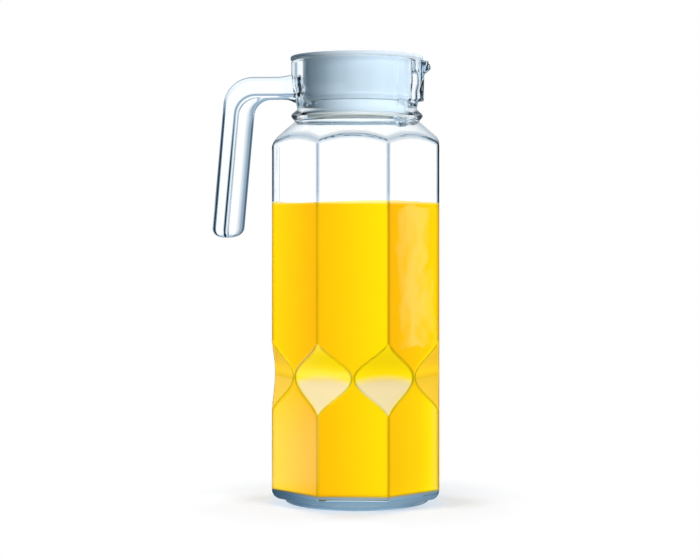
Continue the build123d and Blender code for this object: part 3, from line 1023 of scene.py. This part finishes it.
def floor_material():
    """White floor that keeps the jug's shadow, and shows in the jug's gloss on its left only."""
    shading = new_material("studio_floor")
    x, y, _ = shading.axes(shading.place())
    distance = shading.node("VectorMath", {0: shading.place()}, operation="LENGTH").outputs["Value"]
    bent_ray = shading.rays("Transmission")
    seen = shading.math("MAXIMUM", shading.rays("Camera"), bent_ray)
    matt = shading.node("BsdfDiffuse", {"Color": FLOOR_COLOUR})
    lift = shading.emission(strength=shading.product(seen, FLOOR_LIFT))
    near = shading.node("AddShader", {0: matt, 1: lift})
    far = shading.product(shading.between(distance, *FLOOR_FADE), seen)
    open_floor = shading.mix(far, near, shading.emission())
    to_the_left = shading.between(x, -0.08, -0.14)
    not_behind = shading.between(y, 0.10, 0.05)
    not_far = shading.between(distance, 0.35, 0.9, 1.0, 0.0)
    patch = shading.product(to_the_left, shading.product(not_behind, not_far))
    mirrored = shading.emission(shading.blend(patch, SHADE, FLOOR_PATCH))
    # rays that pass through the glass count as glossy too, so those are taken off
    outer_ray = shading.math("SUBTRACT", shading.rays("Glossy"), bent_ray, use_clamp=True)
    surface = shading.mix(outer_ray, open_floor, mirrored)
    bounce = shading.emission(FLOOR_BOUNCE)
    return shading.finish(shading.mix(shading.rays("Diffuse"), surface, bounce))


def set_material(piece, material):
    piece.data.materials.clear()
    piece.data.materials.append(material)


# ---- build the pieces -----------------------------------------------------------------------
glass = combine(glass_body(), glass_handle(), "UNION")
glass.name = "glass_jug"
glass.data.polygons.foreach_set("use_smooth", [True] * len(glass.data.polygons))
set_material(glass, glass_material())
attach(glass, "jug")
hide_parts("jug_body", "handle")

lid = frosted_lid()
lid.data.polygons.foreach_set("use_smooth", [True] * len(lid.data.polygons))
set_material(lid, frosted_material())
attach(lid, "lid")
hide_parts("lid")

seal = sealing_ring()
set_material(seal, seal_material())
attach(seal, "seal")
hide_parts("lid_seal")

drink = drink_body()
set_material(drink, drink_material())
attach(drink, "jug")

# ---- studio ---------------------------------------------------------------------------------
bpy.ops.mesh.primitive_plane_add(size=12, location=(0, 0, -0.0002))
floor = bpy.context.object
floor.name = "floor"
set_material(floor, floor_material())

CARD_PERIOD = PI / 4
AMBIENT = (0.02, 0.09, 0.15, 1)
RING = (1.5, 2.5, 3.5, 1)  # soft boxes over the camera, seen only in the gloss of the glass
# their brightness by height
BOXES = ((0.06, 0.0), (0.20, 0.55), (0.5, 1.0), (0.85, 0.9), (0.92, 0.0))
CAMERA_AZIMUTH = math.radians(2.7)
OPEN_WHITE = (1.16, 1.12, 1.10, 1)  # makes up for the light that clear glass takes away
# upright cards round the jug: share of the way from the darkest middle of a card to open white
CARDS = (
    (0.00, (0.250, 0.350, 0.420, 1)),
    (0.04, (0.400, 0.520, 0.600, 1)),
    (0.12, (0.560, 0.680, 0.760, 1)),
    (0.28, (0.750, 0.850, 0.920, 1)),
    (0.40, OPEN_WHITE),
)
SKY_CARD = (0.48, 0.62, 0.72, 1)  # shade high overhead and deep below, for edges that run level


def studio_world():
    """White surroundings, with cards that only show bent in the glass, and shade in its gloss."""
    shading = Shading(bpy.data.worlds.new("studio"), "OutputWorld")
    # direction of the view: y is -1 in front of the jug and 1 behind it
    x, y, z = shading.axes(shading.node("TexCoord").outputs["Generated"])
    turned = shading.math("ADD", shading.math("ARCTAN2", y, x), -CAMERA_AZIMUTH)
    wave = shading.math("COSINE", shading.product(turned, 2 * PI / CARD_PERIOD))
    cards = shading.ramp(shading.between(wave, -1.0, 1.0), CARDS)
    steep = shading.between(shading.math("ABSOLUTE", z), 0.32, 0.50)
    bent = shading.blend(steep, cards, SKY_CARD)
    band = shading.ramp(z, [(position, (level, level, level, 1)) for position, level in BOXES])
    boxes = shading.product(band, shading.between(y, -0.10, -0.25))
    around = shading.blend(shading.between(y, 0.3, 0.9), SHADE, BEHIND)
    mirrored = shading.blend(boxes, around, RING)
    colour = shading.blend(shading.rays("Glossy"), (1, 1, 1, 1), mirrored)
    colour = shading.blend(shading.rays("Diffuse"), colour, AMBIENT)
    colour = shading.blend(shading.rays("Transmission"), colour, bent)
    bpy.context.scene.world = shading.finish(shading.node("Background", {0: colour}))


studio_world()


def rectangle_lamp(name, size, power, place, turn, unseen_by):
    """Area lamp that rays of these kinds don't meet."""
    lamp = bpy.data.lights.new(name, "AREA")
    lamp.shape = "RECTANGLE"
    lamp.size, lamp.size_y = size
    lamp.energy = power
    lamp_object = bpy.data.objects.new(name, lamp)
    bpy.context.scene.collection.objects.link(lamp_object)
    lamp_object.location = place
    lamp_object.rotation_euler = turn
    for kind in unseen_by:
        setattr(lamp_object, "visible_" + kind, False)
    return lamp_object


def area_lamp(name, azimuth, elevation, size, power):
    """Soft box that faces the middle of the jug. Azimuth 0 is in front and 90 is to the right."""
    a, e = math.radians(azimuth), math.radians(elevation)
    place = (
        LAMP_DISTANCE * math.sin(a) * math.cos(e),
        -LAMP_DISTANCE * math.cos(a) * math.cos(e),
        RIM_Z * MM / 2 + LAMP_DISTANCE * math.sin(e),
    )
    turn = (PI / 2 - e, 0, a)
    return rectangle_lamp(name, size, power, place, turn, ("camera", "transmission", "glossy"))


def link_lamps(lamps, pieces, state):
    """Lets the lamps light only these pieces (INCLUDE) or all but them (EXCLUDE)."""
    group = bpy.data.collections.new("lit_pieces")
    for piece in pieces:
        group.objects.link(piece)
    for member in group.collection_objects:
        member.light_linking.link_state = state
    for lamp in lamps:
        lamp.light_linking.receiver_collection = group


LAMP_DISTANCE = 1.4
KEY_BOX = (0.5, 1.0)
area_lamp("back_right", 135, 25, KEY_BOX, 11.0)
area_lamp("top", 0, 80, (1.0, 1.0), 4.0)
link_lamps(
    [
        area_lamp("key_right", 45, 10, KEY_BOX, 20.0),
        area_lamp("key_left", -57, 10, KEY_BOX, 21.0),
        area_lamp("back_left", -135, 25, KEY_BOX, 11.0),
        area_lamp("front_fill", 0, 0, (0.6, 0.2), 5.0),
    ],
    [lid, seal],
    "EXCLUDE",
)
link_lamps([area_lamp("lid_key", 40, 10, KEY_BOX, 30.0)], [lid, seal], "INCLUDE")

# narrow upright lamps to the right show only as one reflection, brightest along its middle
STRIP_RADIANCE, STRIP_HEIGHT = 0.55, 0.215
STRIP_WIDTHS = (0.044, 0.036, 0.028, 0.020, 0.011)
STRIP_Y, STRIP_Z = -0.053, 0.082
for index, width in enumerate(STRIP_WIDTHS):
    rectangle_lamp(
        f"strip_{index}",
        (width, STRIP_HEIGHT),
        STRIP_RADIANCE * PI * width * STRIP_HEIGHT,
        (LAMP_DISTANCE + 0.01 * index, STRIP_Y, STRIP_Z),
        (PI / 2, 0, PI / 2),
        ("camera", "transmission", "diffuse"),
    )

CAMERA_DISTANCE, CAMERA_HEIGHT = 1.030, 0.1626
camera_data = bpy.data.cameras.new("camera")
camera_data.sensor_width = 36.0
camera_data.lens = 88.46
camera_data.shift_x = -0.01
camera_data.shift_y = -0.0743
camera_data.clip_start = 0.01
camera = bpy.data.objects.new("camera", camera_data)
bpy.context.scene.collection.objects.link(camera)
camera.location = (
    CAMERA_DISTANCE * math.sin(CAMERA_AZIMUTH),
    -CAMERA_DISTANCE * math.cos(CAMERA_AZIMUTH),
    CAMERA_HEIGHT,
)
camera.rotation_euler = (PI / 2, 0, CAMERA_AZIMUTH)
bpy.context.scene.camera = camera

bpy.context.scene.view_settings.view_transform = "Standard"
